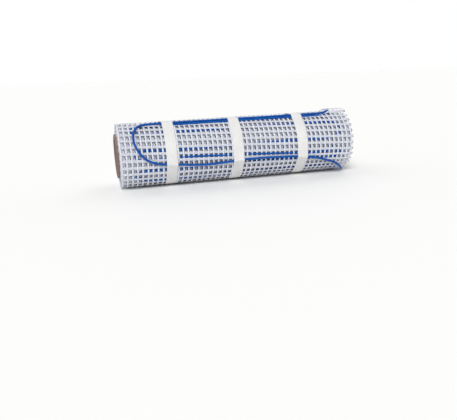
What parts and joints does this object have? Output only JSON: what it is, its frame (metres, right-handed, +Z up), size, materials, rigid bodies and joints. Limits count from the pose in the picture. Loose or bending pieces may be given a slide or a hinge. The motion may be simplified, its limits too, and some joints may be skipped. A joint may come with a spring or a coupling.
{
  "type": "rolled underfloor heating mat",
  "caption": "Rolled glass-fibre mesh mat with a looped heating cable, wound on a cardboard core and held closed by tape strips.",
  "frame": {"origin": "on the floor under the middle of the lying roll, at the middle of its box", "axes": "+X along the roll, +Z up, -Y is the side that the picture shows"},
  "size_m": [0.508, 0.1396, 0.136],
  "materials": {
    "cardboard": "matte",
    "glass_mesh": "satin",
    "cable_sheath": "satin",
    "tape": "matte"
  },
  "bodies": {
    "root": {"core_tube": "cardboard", "mat_roll": "glass_mesh", "heating_cable": "cable_sheath", "tape_strip_left": "tape", "tape_strip_middle": "tape", "tape_strip_right": "tape"}
  },
  "joints": []
}
